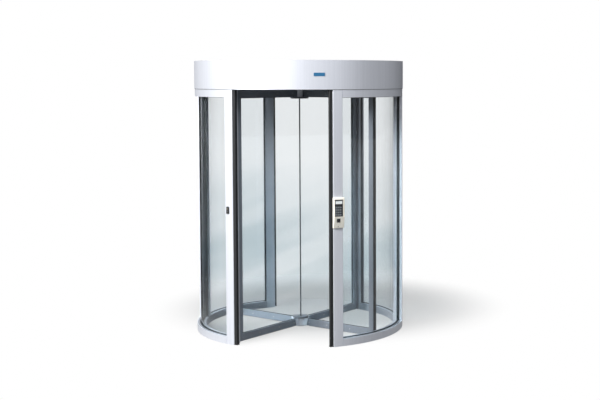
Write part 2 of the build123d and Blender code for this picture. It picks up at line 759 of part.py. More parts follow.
# Key switch on the left front post
switch_plane = outward_plane(drum_outer, switch_direction, switch_level)
with BuildPart() as switch_plate:
    with BuildSketch(switch_plane):
        RectangleRounded(switch_width, switch_height, switch_barrel_radius)
        with Locations((0, switch_barrel_rise)):
            Circle(switch_barrel_radius + running_clearance, mode=Mode.SUBTRACT)
    extrude(amount=switch_thickness)
write(switch_plate.part, "key_switch_plate")
with BuildPart() as switch_barrel:
    with BuildSketch(switch_plane.offset(fit_gap)):
        with Locations((0, switch_barrel_rise)):
            Circle(switch_barrel_radius)
    extrude(amount=switch_thickness + switch_barrel_proud)
    with BuildSketch(switch_plane.offset(fit_gap + switch_thickness + switch_barrel_proud)):
        with Locations((0, switch_barrel_rise)):
            Rectangle(keyway_width, keyway_height)
    extrude(amount=-keyway_depth, mode=Mode.SUBTRACT)
write(switch_barrel.part, "key_switch_barrel")

# Access terminal on the right front post: a wedge housing with a pocket for the key panel
terminal_plane = outward_plane(drum_outer, terminal_direction, terminal_level)
terminal_side = Plane(origin=terminal_plane.origin, x_dir=terminal_plane.z_dir, z_dir=-terminal_plane.x_dir)
half_height = terminal_height / 2
slope = atan2(terminal_depth - terminal_foot_depth, half_height - terminal_slope_drop)
slope_middle = -(terminal_slope_drop + half_height) / 2
slope_depth = (terminal_depth + terminal_foot_depth) / 2
slope_normal = terminal_plane.z_dir * cos(slope) + Vector(0, 0, -sin(slope))
slope_plane = Plane(
    origin=terminal_plane.origin + terminal_plane.z_dir * slope_depth + Vector(0, 0, slope_middle),
    x_dir=terminal_plane.x_dir,
    z_dir=slope_normal,
)
finger_rise = finger_height / 2
lamp_drop = -finger_height
with BuildPart() as terminal:
    with BuildSketch(terminal_side):
        with BuildLine():
            Polyline(
                (-terminal_round, -half_height),
                (terminal_foot_depth, -half_height),
                (terminal_depth, -terminal_slope_drop),
                (terminal_depth, half_height - terminal_bevel),
                (terminal_depth - terminal_bevel / 2, half_height),
                (-terminal_round, half_height),
                close=True,
            )
        make_face()
    extrude(amount=terminal_width / 2, both=True)
    with BuildSketch():
        Circle(drum_outer)
    extrude(amount=passage_height, mode=Mode.SUBTRACT)
    front_edges = terminal.edges().filter_by(
        lambda e: (e.center() - terminal_plane.origin).dot(terminal_plane.z_dir) > terminal_foot_depth / 2
    )
    fillet(front_edges, terminal_round)
    with BuildSketch(terminal_plane.offset(terminal_depth)):
        with Locations((-panel_shift, panel_level)):
            Rectangle(panel_width + 2 * fit_gap, panel_height + 2 * fit_gap)
    extrude(amount=-panel_depth - fit_gap, mode=Mode.SUBTRACT)
    with BuildSketch(slope_plane):
        with Locations((-panel_shift, finger_rise)):
            Rectangle(finger_width + 2 * fit_gap, finger_height + 2 * fit_gap)
        with Locations((-panel_shift, lamp_drop)):
            Circle(lamp_radius + fit_gap)
    extrude(amount=-finger_depth - fit_gap, mode=Mode.SUBTRACT)
write(terminal.part, "terminal_housing")

# Key panel: black plate with the display's recess and a well for each key
key_places = [
    (
        -key_shift + (n % key_columns - (key_columns - 1) / 2) * key_pitch_across,
        key_level + ((len(key_names) / key_columns - 1) / 2 - n // key_columns) * key_pitch_up,
    )
    for n in range(len(key_names))
]
panel_back = terminal_plane.offset(terminal_depth - panel_depth)
with BuildPart() as panel:
    with BuildSketch(panel_back):
        with Locations((-panel_shift, panel_level)):
            Rectangle(panel_width, panel_height)
        with Locations(*key_places):
            Rectangle(key_width + 2 * key_gap, key_height + 2 * key_gap, mode=Mode.SUBTRACT)
    extrude(amount=panel_depth)
    with BuildSketch(terminal_plane.offset(terminal_depth)):
        with Locations((-panel_shift, display_level)):
            Rectangle(display_width, display_height)
    extrude(amount=-display_depth, mode=Mode.SUBTRACT)
write(panel.part, "terminal_key_panel")
with BuildPart() as display:
    with BuildSketch(terminal_plane.offset(terminal_depth - display_depth)):
        with Locations((-panel_shift, display_level)):
            Rectangle(display_width - 2 * fit_gap, display_height - 2 * fit_gap)
    extrude(amount=display_depth - fit_gap)
write(display.part, "terminal_display")

# Keys: each slides in its own well against the mat behind it
key_front = terminal_plane.offset(terminal_depth + key_proud)
for name, place in zip(key_names, key_places):
    with BuildPart() as key:
        with BuildSketch(key_front):
            with Locations(place):
                RectangleRounded(key_width, key_height, key_proud)
        extrude(amount=-key_length)
    write(key.part, f"key_{name}")

# Fingerprint window and status lamp on the sloping foot
with BuildPart() as finger:
    with BuildSketch(slope_plane.offset(-finger_depth)):
        with Locations((-panel_shift, finger_rise)):
            Rectangle(finger_width, finger_height)
        with Locations((-panel_shift, lamp_drop)):
            Circle(lamp_radius)
    extrude(amount=finger_depth)
write(finger.part, "fingerprint_window")
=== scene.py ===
import math

import bmesh
import bpy
from mathutils import Matrix, Vector


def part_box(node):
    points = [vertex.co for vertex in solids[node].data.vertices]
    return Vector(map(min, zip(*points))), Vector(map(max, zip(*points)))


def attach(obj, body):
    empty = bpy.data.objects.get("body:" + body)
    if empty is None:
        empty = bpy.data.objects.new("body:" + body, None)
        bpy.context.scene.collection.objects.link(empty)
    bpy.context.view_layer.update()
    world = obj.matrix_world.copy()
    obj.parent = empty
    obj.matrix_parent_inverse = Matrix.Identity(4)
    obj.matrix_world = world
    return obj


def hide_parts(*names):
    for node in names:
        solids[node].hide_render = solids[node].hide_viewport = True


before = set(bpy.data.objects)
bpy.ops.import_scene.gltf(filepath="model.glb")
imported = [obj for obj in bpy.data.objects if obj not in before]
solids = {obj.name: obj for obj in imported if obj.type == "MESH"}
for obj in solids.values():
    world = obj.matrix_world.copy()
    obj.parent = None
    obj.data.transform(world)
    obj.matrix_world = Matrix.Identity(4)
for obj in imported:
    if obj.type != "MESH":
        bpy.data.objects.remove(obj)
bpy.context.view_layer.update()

# Base and head rails: curved sills and lintels of the drum's two walls.
# They are aluminium extrusions rolled to the drum's curve and clear anodised to a satin silver.
# Their faces inside the drum, a few millimetres in from its outer radius, are a darker grey: painted shade
# for the shade inside the drum.
drum_radius, painted_shade_inset = 0.905, 0.005
base_rail_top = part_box("base_rail_right")[1].z
head_rail_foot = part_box("head_rail_right")[0].z
passage_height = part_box("head_rail_right")[1].z


def linear(hex_colour):
    """An sRGB hex colour as the linear numbers that a socket takes."""
    parts = [int(hex_colour[i : i + 2], 16) / 255 for i in (1, 3, 5)]
    return [c / 12.92 if c <= 0.04045 else ((c + 0.055) / 1.055) ** 2.4 for c in parts] + [1.0]


def add(tree, kind, values=None, **settings):
    """Adds a node, with its settings, and sets or links its inputs by name or number."""
    new = tree.nodes.new(kind)
    for key, value in settings.items():
        setattr(new, key, value)
    for key, value in (values or {}).items():
        if isinstance(value, bpy.types.NodeSocket):
            tree.links.new(value, new.inputs[key])
        else:
            new.inputs[key].default_value = value
    return new


def surface(name, colour, **shader):
    """A new material with its shader; returns the material, its tree and the shader."""
    material = bpy.data.materials.new(name)
    material.use_nodes = True
    tree = material.node_tree
    principled = tree.nodes["Principled BSDF"]
    principled.inputs["Base Color"].default_value = linear(colour)
    for key, value in shader.items():
        principled.inputs[key.replace("_", " ").title().replace("Ior", "IOR")].default_value = value
    return material, tree, principled


def mottle(tree, principled, light, dark, grain):
    """Lets the colour drift between two close tones, in patches of the given mm along each axis."""
    where = add(tree, "ShaderNodeTexCoord").outputs["Object"]
    per_metre = [1000 / size for size in grain]
    laid = add(tree, "ShaderNodeMapping", {"Vector": where, "Scale": per_metre}).outputs["Vector"]
    noise = add(tree, "ShaderNodeTexNoise", {"Vector": laid, "Scale": 1.0, "Detail": 4.0})
    ramp = add(tree, "ShaderNodeValToRGB", {"Fac": noise.outputs["Fac"]})
    for stop, place, tone in zip(ramp.color_ramp.elements, (0.35, 0.65), (dark, light)):
        stop.position = place
        stop.color = linear(tone)
    tree.links.new(ramp.outputs["Color"], principled.inputs["Base Color"])
    return noise


def relief(tree, principled, height, depth):
    """A bump from a pattern, with a real depth in mm."""
    bump = add(tree, "ShaderNodeBump", {"Height": height, "Distance": depth / 1000, "Strength": 1.0})
    tree.links.new(bump.outputs["Normal"], principled.inputs["Normal"])


def grained(name, colour, light, dark, grain, depth, **shader):
    """A material whose one pattern, sized in mm, drifts its colour and raises its grain."""
    material, tree, principled = surface(name, colour, **shader)
    noise = mottle(tree, principled, light, dark, grain)
    relief(tree, principled, noise.outputs["Fac"], depth)
    return material


# Anodised aluminium, drawn through a die: faint lines run up the posts, and the film keeps a soft sheen.
# Die lines are about 0.3 mm apart; they are drawn 8 mm apart so that they show at all.
die_lines = (8, 8, 900)


def satin(name):
    """Clear anodised aluminium in satin silver."""
    return grained(name, "#dde0e8", "#dfe2ea", "#dadde5", die_lines, 0.01, metallic=0.5, roughness=0.42)


def satin_with_painted_shade(name, inner):
    """Satin silver with painted shade: a darker tone wherever the surface lies inside the drum, just in from
    its outer radius.
    """
    metal = satin(name)
    tree = metal.node_tree
    base = tree.nodes["Principled BSDF"].inputs["Base Color"]
    silver = base.links[0].from_socket
    where = add(tree, "ShaderNodeTexCoord").outputs["Object"]
    flat = add(tree, "ShaderNodeVectorMath", {0: where, 1: (1, 1, 0)}, operation="MULTIPLY").outputs[0]
    from_axis = add(tree, "ShaderNodeVectorMath", {0: flat}, operation="LENGTH").outputs["Value"]
    painted_shade_start = drum_radius - painted_shade_inset
    # Faces inside the drum take the darker tone, as painted shade.
    behind = add(tree, "ShaderNodeMath", {0: from_axis, 1: painted_shade_start}, operation="LESS_THAN").outputs[0]
    shaded_colour = add(tree, "ShaderNodeMix", {0: behind, 6: silver, 7: linear(inner)}, data_type="RGBA")
    tree.links.new(shaded_colour.outputs[2], base)
    return metal


def dress(material, *nodes):
    """Gives CAD nodes their finish."""
    for node in nodes:
        for place in solids[node].material_slots:
            place.material = material


# The rails' inner grey is painted shade.
rail_metal = satin_with_painted_shade("anodised rails with painted inner shade", "#9fa1a8")
dress(rail_metal, "base_rail_left", "base_rail_right", "head_rail_left", "head_rail_right")

# Throat posts and mullions: the uprights of each wall, hollow anodised extrusions in the same satin silver,
# with the same painted inner shade.
# They stand on the base rail's ends and are screwed to the rails from inside.
post_metal = satin_with_painted_shade("anodised uprights with painted inner shade", "#bcbec6")
dress(post_metal, "post_front_left", "post_front_right", "post_rear_left", "post_rear_right")
dress(post_metal, "mullion_left", "mullion_right")

# Fixings of the rails: button-head socket screws through the inner face of each rail.
# They are M6 in stainless steel, four to a rail, and grinding leaves them a soft, slightly broken shine.
stainless = grained(
    "ground stainless steel", "#b9babb", "#c0c1c2", "#a9aaac", (3, 3, 3), 0.01, metallic=1.0, roughness=0.3
)
head_sides, facing_up, socket_depth = 12, 0.9, 0.6


def screw_heads(material):
    """The tree that sets a socket-head screw on every point, standing along the point's direction."""
    tree = bpy.data.node_groups.new("screw heads", "GeometryNodeTree")
    sockets = tree.interface
    sockets.new_socket("Points", in_out="INPUT", socket_type="NodeSocketGeometry")
    for name in ("Head radius", "Head height", "Socket share"):
        sockets.new_socket(name, in_out="INPUT", socket_type="NodeSocketFloat")
    sockets.new_socket("Screws", in_out="OUTPUT", socket_type="NodeSocketGeometry")
    given = add(tree, "NodeGroupInput").outputs
    size = {"Vertices": head_sides, "Radius": given["Head radius"], "Depth": given["Head height"]}
    head = add(tree, "GeometryNodeMeshCylinder", size)
    normal = add(tree, "GeometryNodeInputNormal")
    split = add(tree, "ShaderNodeSeparateXYZ", {0: normal.outputs[0]})
    upward = {"A": split.outputs["Z"], "B": facing_up}
    top = add(tree, "FunctionNodeCompare", upward, operation="GREATER_THAN")
    level = {"Mesh": head.outputs["Mesh"], "Selection": top.outputs[0], "Offset Scale": 0.0}
    rim = add(tree, "GeometryNodeExtrudeMesh", level)
    inset = {"Geometry": rim.outputs["Mesh"], "Selection": rim.outputs["Top"]}
    narrow = add(tree, "GeometryNodeScaleElements", {**inset, "Scale": given["Socket share"]})
    down = add(tree, "ShaderNodeMath", {0: given["Head height"], 1: -socket_depth}, operation="MULTIPLY")
    sunk = {"Mesh": narrow.outputs["Geometry"], "Selection": rim.outputs["Top"]}
    hole = add(tree, "GeometryNodeExtrudeMesh", {**sunk, "Offset Scale": down.outputs[0]})
    out = add(tree, "GeometryNodeInputNamedAttribute", {"Name": "out"}, data_type="FLOAT_VECTOR")
    aim = add(tree, "FunctionNodeAlignRotationToVector", {"Vector": out.outputs[0]}, axis="Z")
    placed = {"Points": given["Points"], "Instance": hole.outputs["Mesh"], "Rotation": aim.outputs[0]}
    on = add(tree, "GeometryNodeInstanceOnPoints", placed)
    real = add(tree, "GeometryNodeRealizeInstances", {"Geometry": on.outputs["Instances"]})
    paint = add(tree, "GeometryNodeSetMaterial", {"Geometry": real.outputs["Geometry"], "Material": material})
    add(tree, "NodeGroupOutput", {"Screws": paint.outputs["Geometry"]})
    return tree


def grown(name, tree, points, directions, sizes, body, edges=()):
    """Runs a node tree on points that know their outward direction, and keeps the result as a plain mesh."""
    seeds = bpy.data.meshes.new(name)
    seeds.from_pydata(points, edges, [])
    out = seeds.attributes.new("out", "FLOAT_VECTOR", "POINT")
    for i, direction in enumerate(directions):
        out.data[i].vector = direction
    seed = bpy.data.objects.new(name + " seeds", seeds)
    bpy.context.collection.objects.link(seed)
    modifier = seed.modifiers.new("grow", "NODES")
    modifier.node_group = tree
    for item in tree.interface.items_tree:
        if item.in_out == "INPUT" and item.name in sizes:
            modifier[item.identifier] = sizes[item.name]
    bpy.context.view_layer.update()
    mesh = bpy.data.meshes.new_from_object(seed.evaluated_get(bpy.context.evaluated_depsgraph_get()))
    bpy.data.objects.remove(seed)
    mesh.name = name
    piece = bpy.data.objects.new(name, mesh)
    bpy.context.collection.objects.link(piece)
    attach(piece, body)
    return piece


def compass(direction, radius, level):
    """A point on the drum, by its direction from +X in degrees."""
    a = math.radians(direction)
    return Vector((radius * math.cos(a), radius * math.sin(a), level))


screws = screw_heads(stainless)


def set_screws(name, points, facing, body, radius, height, socket_share=0.5):
    """Screws of one size, each standing on its point and facing its direction."""
    sizes = {"Head radius": radius, "Head height": height, "Socket share": socket_share}
    grown(name, screws, points, facing, sizes, body)


rail_inside, screw_level = 0.8292, 0.032
points, facing = [], []
for side in (0, 180):
    for direction in (-52, -8, 8, 52):
        for level in (screw_level, passage_height - screw_level):
            points.append(compass(direction + side, rail_inside, level))
            facing.append(compass(direction + side, -1, 0))
set_screws("rail_screws", points, facing, "frame", radius=0.0052, height=0.003)

# Curved glass: two toughened panes to each wall, 10 mm float bent to the drum.
# Clear float glass has a green cast from its iron. A painted reflection of a dark ground greys it, deepest at
# knee height, in slanting streaks, each about 0.4 m high.
float_glass, tree, shader = surface(
    "clear float glass", "#fafdfe", roughness=0.0, transmission_weight=1.0, ior=1.5
)
clear_glass_tone, painted_reflection_tone, shade_tone = "#fcfeff", "#dce6ea", "#e2e9eb"
streak_layout = {"Rotation": (0, -0.36, 0), "Scale": (3.0, 3.0, 0.4)}
reflection_by_height = ((0.0, 0.3), (0.12, 0.45), (0.3, 1.0), (0.48, 0.45), (0.7, 0.0))
where = add(tree, "ShaderNodeTexCoord").outputs["Object"]
slant = add(tree, "ShaderNodeMapping", {"Vector": where, **streak_layout}, vector_type="TEXTURE")
reflection_streak = add(tree, "ShaderNodeTexNoise", {"Vector": slant.outputs["Vector"], "Scale": 1.0, "Detail": 2.0})
spread = {"Value": reflection_streak.outputs["Fac"], "From Min": 0.4, "From Max": 0.6, "To Min": 0.35}
reflection_streak = add(tree, "ShaderNodeMapRange", spread).outputs["Result"]
height = add(tree, "ShaderNodeSeparateXYZ", {0: where}).outputs["Z"]
height = add(tree, "ShaderNodeMapRange", {"Value": height, "From Max": passage_height}).outputs["Result"]
reflection_ramp = add(tree, "ShaderNodeValToRGB", {"Fac": height})
stops = reflection_ramp.color_ramp.elements
stops.remove(stops[0])
for share, tone in reflection_by_height:
    stops.new(share).color = (tone, tone, tone, 1)
stops.remove(stops[-1])
# The grey laid on the glass here is a painted reflection of a dark ground.
painted_reflection = add(tree, "ShaderNodeMath", {0: reflection_streak, 1: reflection_ramp.outputs["Color"]}, operation="MULTIPLY").outputs[0]
tones = {0: painted_reflection, 6: linear(clear_glass_tone), 7: linear(painted_reflection_tone)}
cast = add(tree, "ShaderNodeMix", tones, data_type="RGBA")
tree.links.new(cast.outputs[2], shader.inputs["Base Color"])
lamp_rays = add(tree, "ShaderNodeLightPath").outputs["Is Shadow Ray"]
clear = add(tree, "ShaderNodeBsdfTransparent", {"Color": linear(shade_tone)})
lit = add(tree, "ShaderNodeMixShader", {0: lamp_rays, 1: shader.outputs["BSDF"], 2: clear.outputs["BSDF"]})
tree.links.new(lit.outputs["Shader"], tree.nodes["Material Output"].inputs["Surface"])


def skin(rings, loop=False):
    """The vertices and faces of a surface through equal rings, closed at its ends or round on itself."""
    count = len(rings[0])
    verts = [p for ring in rings for p in ring]
    faces = []
    for i in range(len(rings) if loop else len(rings) - 1):
        j = (i + 1) % len(rings)
        for k in range(count):
            m = (k + 1) % count
            faces.append((i * count + k, i * count + m, j * count + m, j * count + k))
    if not loop:
        faces += [tuple(range(count)), tuple((len(rings) - 1) * count + k for k in range(count))]
    return verts, faces


def shape(name, skins, materials, body, bevel=0.0):
    """Makes a piece of one or more skins, each with a material number, and lets it ride on its body."""
    work = bmesh.new()
    for (verts, faces), index in skins:
        made = [work.verts.new(v) for v in verts]
        for face in faces:
            work.faces.new([made[i] for i in face]).material_index = index
    bmesh.ops.recalc_face_normals(work, faces=work.faces)
    mesh = bpy.data.meshes.new(name)
    work.to_mesh(mesh)
    work.free()
    for material in materials:
        mesh.materials.append(material)
    mesh.polygons.foreach_set("use_smooth", [True] * len(mesh.polygons))
    mesh.set_sharp_from_angle(angle=math.radians(35))
    piece = bpy.data.objects.new(name, mesh)
    bpy.context.collection.objects.link(piece)
    if bevel:
        soft = piece.modifiers.new("soft edges", "BEVEL")
        soft.width = bevel
        soft.segments = 2
        soft.limit_method = "ANGLE"
    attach(piece, body)
    return piece


# Each pane is a fine arc, given in degrees from the mullion's middle. Its long edges reach into the rails,
# and its ends, which are lower, into the grooves of the mullion and the post.
glass_inside, glass_outside = 0.8625, 0.8725
pane_start, clear_start, clear_end, pane_end = 1.556, 2.30, 57.35, 58.079
clear_levels, groove_levels = (0.043, 2.0575), (0.066, 2.034)
step, facets = 0.01, 72
arc = [(pane_start, groove_levels), (clear_start - step, groove_levels)]
arc += [(clear_start + (clear_end - clear_start) * k / facets, clear_levels) for k in range(facets + 1)]
arc += [(clear_end + step, groove_levels), (pane_end, groove_levels)]
for side, wall in ((0, "right"), (180, "left")):
    for way in (-1, 1):
        rings = []
        for direction, (low, high) in arc:
            corners = ((glass_inside, low), (glass_outside, low), (glass_outside, high), (glass_inside, high))
            rings.append([compass(side + way * direction, radius, level) for radius, level in corners])
        end = "front" if (side == 0) == (way < 0) else "rear"
        pane = shape(f"{end}_{wall}_pane", [(skin(rings), 0)], [float_glass], "frame")
        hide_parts(f"drum_glass_{wall}")

# Glazing seals: black EPDM wedges pressed in round each pane, with a matt skin.
# A fine bloom dulls the rubber; it is drawn in patches of about 4 mm.
epdm = grained(
    "extruded EPDM rubber", "#1d1e20", "#222325", "#17181a", (4, 4, 20), 0.04,
    roughness=0.62, specular_ior_level=0.3,
)
dress(epdm, "drum_glazing_seals")

# Mullion beads: black rubber strips that close the mullions' sides from the glass to their edge.
# They lie outside on both walls, and inside too on the left one.
mullion_width, bead_gap = 0.070, 0.001
half_mullion = math.degrees(mullion_width / drum_radius) / 2
bead_levels = (base_rail_top + bead_gap, head_rail_foot - bead_gap)
bead_rise, bead_crest = 0.0022, 0.0030
outside_bead, inside_bead = (0.8760, 0.8860), (0.8312, 0.8590)
beads = []
for side, depths in ((0, [outside_bead]), (180, [outside_bead, inside_bead])):
    for way in (-1, 1):
        for near, far in depths:
            rings = []
            for level in bead_levels:
                ring = []
                for radius, along in ((near, 0.0), (far, 0.0), (far, bead_rise), (near, bead_crest)):
                    turned = side + way * (half_mullion + math.degrees(along / radius))
                    ring.append(compass(turned, radius, level))
                rings.append(ring)
            beads.append((skin(rings), 0))
shape("mullion_beads", beads, [epdm], "frame", bevel=0.0006)

# Safety edges: hollow rubber profiles on the throat posts that stop the door when someone is squeezed.
# Each has two soft lobes and a moulded foot and head. The grooved web between the lobes is a duller,
# greyer rubber that was co-extruded with them.
grey_web = grained(
    "co-extruded grey rubber", "#45474a", "#4b4d50", "#3d3f42", (5, 5, 25), 0.03, roughness=0.55
)
throat_direction, throat_radius = -90 + 27.2, 0.886
edge_low, edge_high = (corner.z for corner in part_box("throat_safety_edges"))
foot_height = 0.006
lobe_x, lobe_y, lobe_radius = 0.0213, -0.0073, 0.0075
half = [(0.0, -0.0148), (0.010, -0.0148), (0.0145, -0.0128), (0.019, -0.0148)]
for k in range(10):
    t = math.pi * k / 10
    half.append((lobe_x + lobe_radius * math.sin(t), lobe_y - lobe_radius * math.cos(t)))
groove = [(0.0195, -0.001), (0.0175, -0.0007), (0.0175, 0.0007), (0.0195, 0.001)]
lobes_outline = half + groove + [(x, -y) for x, y in reversed(half)]
web_outline = [(0.0175, -0.0021), (0.0212, -0.0021), (0.0212, 0.0021), (0.0175, 0.0021)]
foot_outline = [(0.0, -0.0152), (0.0302, -0.0152), (0.0302, 0.0152), (0.0, 0.0152)]


def seat(x_way, y_way, z_way, place):
    """Where a fitting stands: its axes along the given directions, and its origin on a place."""
    matrix = Matrix((x_way, y_way, z_way)).transposed().to_4x4()
    matrix.translation = place
    return matrix


def upright(outline, low, high, where):
    """A level outline stood up between two levels, where a fitting stands."""
    return skin([[where @ Vector((x, y, z)) for x, y in outline] for z in (low, high)])


throat = seat(
    compass(throat_direction - 90, 1, 0),
    compass(throat_direction, 1, 0),
    Vector((0, 0, 1)),
    compass(throat_direction, throat_radius, 0),
)
for end, y_side in (("front", 1), ("rear", -1)):
    for wall, x_side in (("left", -1), ("right", 1)):
        at_post = Matrix.Diagonal((x_side, y_side, 1, 1)) @ throat
        bottom, top = edge_low + foot_height, edge_high - foot_height
        parts = [
            (upright(lobes_outline, bottom, top, at_post), 0),
            (upright(web_outline, bottom, top, at_post), 1),
            (upright(foot_outline, edge_low, bottom, at_post), 0),
            (upright(foot_outline, top, edge_high, at_post), 0),
        ]
        edge = shape(f"{end}_{wall}_safety_edge", parts, [epdm, grey_web], "frame")
        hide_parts("throat_safety_edges")

# Canopy structure: a ring beam on the posts with two box beams across it, hidden in the canopy.
# They are welded steel, hot-dip galvanised, and the zinc shows a spangle of crystals about 12 mm across.
zinc, tree, shader = surface("hot-dip galvanised steel", "#a4a8ab", metallic=0.9, roughness=0.45)
where = add(tree, "ShaderNodeTexCoord").outputs["Object"]
spangle = add(tree, "ShaderNodeTexVoronoi", {"Vector": where, "Scale": 1000 / 12})
crystals = add(tree, "ShaderNodeValToRGB", {"Fac": spangle.outputs["Color"]})
for stop, tone in zip(crystals.color_ramp.elements, ("#989c9f", "#b1b5b8")):
    stop.color = linear(tone)
tree.links.new(crystals.outputs["Color"], shader.inputs["Base Color"])
dress(zinc, "ring_beam", "cross_beams", "canopy_top_cover", "bearing_plate")

# Canopy fascia: two rolled half rings of anodised sheet that meet at the sides over cover strips.
# The dust cover on top is galvanised sheet, screwed down all round its rim.
anodised = satin("satin anodised aluminium")
dress(anodised, "canopy_fascia")


def circle(count, radius, level):
    """Points evenly spaced on a level circle, the first of them half a step from +X."""
    return [compass(360 / count * (n + 0.5), radius, level) for n in range(count)]


points = circle(24, radius=0.892, level=2.3356)
facing = [Vector((0, 0, 1))] * len(points)
set_screws("dust_cover_screws", points, facing, "frame", radius=0.006, height=0.0032)

# Canopy joint: a black rubber strip closes the gap between the fascia and the drum.
# Its black is also painted shade, standing in for the shadow under the fascia's edge.
# It is a plain flat section pushed in from outside.


def lathe(profile, centre, steps):
    """A closed outline of radius and level, turned about an upright axis."""
    rings = []
    for n in range(steps):
        a = 2 * math.pi * n / steps
        rings.append([Vector((r * math.cos(a), r * math.sin(a), z)) + centre for r, z in profile])
    return skin(rings, loop=True)


strip = [(0.9053, 2.1003), (0.9080, 2.1003), (0.9080, 2.1027), (0.9053, 2.1027)]
gap_ring = lathe(strip, Vector((0, 0, 0)), steps=144)
shape("canopy_joint_strip", [(gap_ring, 0)], [epdm], "frame")

# Badge: a small blank plate of blue enamel on aluminium, taped to the fascia.
# Fired enamel is glossy, with a slight orange peel a few millimetres across.
enamel = grained(
    "fired blue enamel", "#2f6a92", "#326e96", "#2b648b", (7, 7, 7), 0.03, roughness=0.28, coat_weight=0.3
)
dress(enamel, "badge_plate")

# Ceiling: a grey powder-coated panel screwed up under the canopy, with four downlights and two sensors.
# Powder coat has a fine orange peel, about 2 mm from crest to crest.
powder = grained("grey powder coat", "#8b8d90", "#8f9194", "#86888b", (2, 2, 2), 0.03, roughness=0.5)
dress(powder, "ceiling_panel")
points = circle(16, radius=0.822, level=2.1015)
facing = [Vector((0, 0, -1))] * len(points)
set_screws("ceiling_screws", points, facing, "frame", radius=0.0045, height=0.0022)

# Downlights: bright spun reflectors, ringed by the spinning, behind a coated trim ring.
# Each has a frosted lens that glows faintly and evenly. They replace the plain cans, and keep
# the same trim and the same depth.
spun = grained(
    "spun bright aluminium", "#d2d3d4", "#d8d9da", "#c6c7c8", (1000, 1000, 3), 0.02,
    metallic=1.0, roughness=0.18,
)
frosted, tree, shader = surface("frosted acrylic lens", "#f4f1e8", roughness=0.6, emission_strength=0.25)
shader.inputs["Emission Color"].default_value = linear("#fff6e6")
where = add(tree, "ShaderNodeTexCoord").outputs["Object"]
frost = add(tree, "ShaderNodeTexNoise", {"Vector": where, "Scale": 1000 / 2})
relief(tree, shader, frost.outputs["Fac"], 0.05)
trim = [(0.0535, 2.1020), (0.0540, 2.1012), (0.0525, 2.1005), (0.0440, 2.1005)]
trim += [(0.0425, 2.1020), (0.0415, 2.1040), (0.0478, 2.1060), (0.0478, 2.1020)]
cone = [(0.0420, 2.1030), (0.0470, 2.1060), (0.0470, 2.1600)]
cone += [(0.0200, 2.1600), (0.0240, 2.1500), (0.0330, 2.1280)]
lens = [(0.0001, 2.1440), (0.0275, 2.1440), (0.0285, 2.1400), (0.0200, 2.1375), (0.0001, 2.1370)]
for n, centre in enumerate(circle(4, radius=0.480, level=0), 1):
    parts = [(lathe(outline, centre, steps=48), index) for index, outline in enumerate((trim, cone, lens))]
    light = shape(f"downlight_{n}", parts, [powder, spun, frosted], "frame")
    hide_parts("downlights")

# Ceiling sensors: black moulded bars over the throats with a smoked window.
# The plastic is ABS with a fine spark-eroded grain, drawn about 1.5 mm across, that keeps it dull.
black_abs = grained(
    "black moulded ABS", "#1d1e20", "#212224", "#18191b", (1.5, 1.5, 1.5), 0.05, roughness=0.45
)
dress(black_abs, "ceiling_sensors", "terminal_key_panel", "key_switch_plate")

# Floor pivot, hubs and caps: the rotor turns on a ground pin and its wings meet in cast aluminium hubs.
# Round caps of turned and anodised aluminium cover the joints, darker than the hubs and finely lined.
dress(stainless, "floor_pivot", "drive_shaft")
turned_metal = grained(
    "turned anodised aluminium", "#696c72", "#6d7076", "#64676d", (30, 30, 4), 0.015,
    metallic=0.5, roughness=0.33,
)
dress(anodised, "hub_lower", "hub_upper")
dress(turned_metal, "hub_caps", "centre_profile")

# Wings: glazed leaves in anodised frames, set in an X. Screws hold each rail to its hub and clamp.
# The frames' film is a steel grey, darker than the silver of the walls.
steel_grey = grained(
    "steel-grey anodised aluminium", "#7c828b", "#7f858e", "#787e87", die_lines, 0.01,
    metallic=0.15, roughness=0.4,
)
for n in range(1, 5):
    dress(steel_grey, f"wing_{n}_frame")
    dress(float_glass, f"wing_{n}_glass")
first_wing = -120
turns = [Matrix.Rotation(math.radians(first_wing + 90 * n), 3, "Z") for n in range(4)]
screw_reaches, screw_levels, rail_face = (0.110, 0.310, 0.560), (0.038, 2.061), 0.0172
points, facing = [], []
for turn in turns:
    for face in (-1, 1):
        for reach in screw_reaches:
            for level in screw_levels:
                points.append(turn @ Vector((reach, face * rail_face, level)))
                facing.append(turn @ Vector((0, face, 0)))
set_screws("wing_rail_screws", points, facing, "rotor", radius=0.0045, height=0.0024, socket_share=0.55)

# Wing gaskets: a slim black rubber bead round both faces of each wing's glass.
# It is pushed in between the pane and the frame, and its corners are mitred.
gasket_root, gasket_lip = 0.0041, 0.0072
on_glass = [(0.0840, 0.0715), (0.7606, 0.0715), (0.7606, 2.0266), (0.0840, 2.0266)]
on_frame = [(0.0835, 0.0682), (0.7638, 0.0682), (0.7638, 2.0298), (0.0835, 2.0298)]
for n, turn in enumerate(turns, 1):
    beads = []
    for face in (-1, 1):
        near, far = face * gasket_root, face * gasket_lip
        corners = []
        for (xi, zi), (xo, zo) in zip(on_glass, on_frame):
            corners.append([turn @ Vector(p) for p in ((xo, near, zo), (xi, near, zi), (xo, far, zo))])
        beads.append((skin(corners), 0))
    shape(f"wing_{n}_gasket", beads, [epdm], "rotor")

# Stile caps: black moulded plugs that close the hollow stiles at the top and bottom of each wing.
# They are pushed in, and a thin flange stays outside.
flange = [(0.7650, -0.0158), (0.7995, -0.0158), (0.7995, 0.0158), (0.7650, 0.0158)]
flange_levels = ((0.0062, 0.0080), (2.0920, 2.0938))
for n, turn in enumerate(turns, 1):
    plugs = [(upright(flange, low, high, turn), 0) for low, high in flange_levels]
    shape(f"wing_{n}_stile_caps", plugs, [black_abs], "rotor", bevel=0.0004)

# Sweep brushes: tufts of dull black nylon along the outer, lower and upper edges of each wing.
# They are gripped in a folded strip; real tufts stand 1.5 mm apart, and here 4 mm so that they show.
nylon, tree, shader = surface("black nylon bristle", "#1c1d1f", roughness=0.5)
mottle(tree, shader, "#232426", "#141516", (3, 3, 3))
tuft_spacing, tuft_foot, tuft_tip, most_lean = 0.004, 0.0019, 0.0011, 0.05


